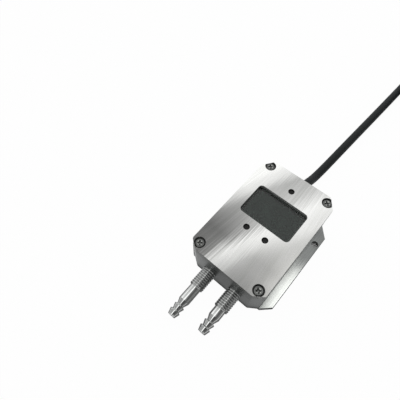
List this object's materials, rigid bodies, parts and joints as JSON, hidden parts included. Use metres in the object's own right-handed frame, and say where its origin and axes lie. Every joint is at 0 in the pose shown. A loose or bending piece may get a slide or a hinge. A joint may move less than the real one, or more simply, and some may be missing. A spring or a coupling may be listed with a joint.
{
  "type": "differential pressure transmitter",
  "caption": "Aluminium box with a screwed-down brushed cover, a display window, recessed buttons, two hose barbs, a mounting ear on each side and a cable.",
  "frame": {"origin": "on the base plane, under the centre of the rectangular box", "axes": "+Z out of the cover, +Y out of the back wall where the cable leaves, -Y out of the wall with the barbs, +X to the right seen from the barbs"},
  "size_m": [0.098, 0.2786, 0.027],
  "materials": {
    "machined_aluminium": "satin, finely milled",
    "brushed_aluminium": "brushed along its length",
    "bright_nickel": "bright nickel plate, turned",
    "screw_steel": "dull plated steel",
    "black_rubber": "matt",
    "smoked_lens": "polished, dark",
    "lcd": "smooth",
    "white_plastic": "matt",
    "black_plastic": "matt",
    "circuit_board": "lacquered",
    "plated_brass": "turned",
    "silicone": "soft, milky",
    "capacitor_can": "smooth",
    "green_plastic": "moulded",
    "cable_jacket": "matt PVC",
    "lead_insulation": "smooth insulation",
    "tie_fabric": "woven band",
    "button_rubber": "matt"
  },
  "bodies": {
    "root": {"housing": "machined_aluminium", "cover": "brushed_aluminium", "cover_gasket": "black_rubber", "cover_screws": "screw_steel", "display_window": "smoked_lens", "window_seal": "black_rubber", "lcd_glass": "lcd", "lcd_contact_strips": "black_rubber", "lcd_backlight": "white_plastic", "lcd_bezel": "black_plastic", "display_board": "circuit_board", "board_standoffs": "plated_brass", "display_board_screws": "screw_steel", "switch_bases": "black_plastic", "long_hose_barb": "bright_nickel", "short_hose_barb": "bright_nickel", "main_board": "circuit_board", "main_board_screws": "screw_steel", "pressure_sensor": "black_plastic", "long_side_tube": "silicone", "short_side_tube": "silicone", "stack_socket": "black_plastic", "stack_header": "black_plastic", "controller_chip": "black_plastic", "regulator": "black_plastic", "capacitors": "capacitor_can", "cable_terminal": "green_plastic", "terminal_screws": "screw_steel", "cable_gland": "black_rubber", "cable_inner_end": "cable_jacket", "strain_tie": "white_plastic", "inner_leads": "lead_insulation", "cable": "cable_jacket", "cable_coil": "cable_jacket", "coil_tie": "tie_fabric", "cable_leads": "lead_insulation"},
    "rear_button": {"rear_button_cap": "button_rubber", "rear_button_stem": "white_plastic"},
    "left_button": {"left_button_cap": "button_rubber", "left_button_stem": "white_plastic"},
    "right_button": {"right_button_cap": "button_rubber", "right_button_stem": "white_plastic"}
  },
  "joints": [
    {"name": "rear_button_press", "type": "slide", "parent": "root", "child": "rear_button", "axis": [0, 0, -1], "range_m": [0, 0.0004], "stiffness_N_per_m": 600, "springref_m": -0.002},
    {"name": "left_button_press", "type": "slide", "parent": "root", "child": "left_button", "axis": [0, 0, -1], "range_m": [0, 0.0004], "stiffness_N_per_m": 600, "springref_m": -0.002},
    {"name": "right_button_press", "type": "slide", "parent": "root", "child": "right_button", "axis": [0, 0, -1], "range_m": [0, 0.0004], "stiffness_N_per_m": 600, "springref_m": -0.002}
  ]
}
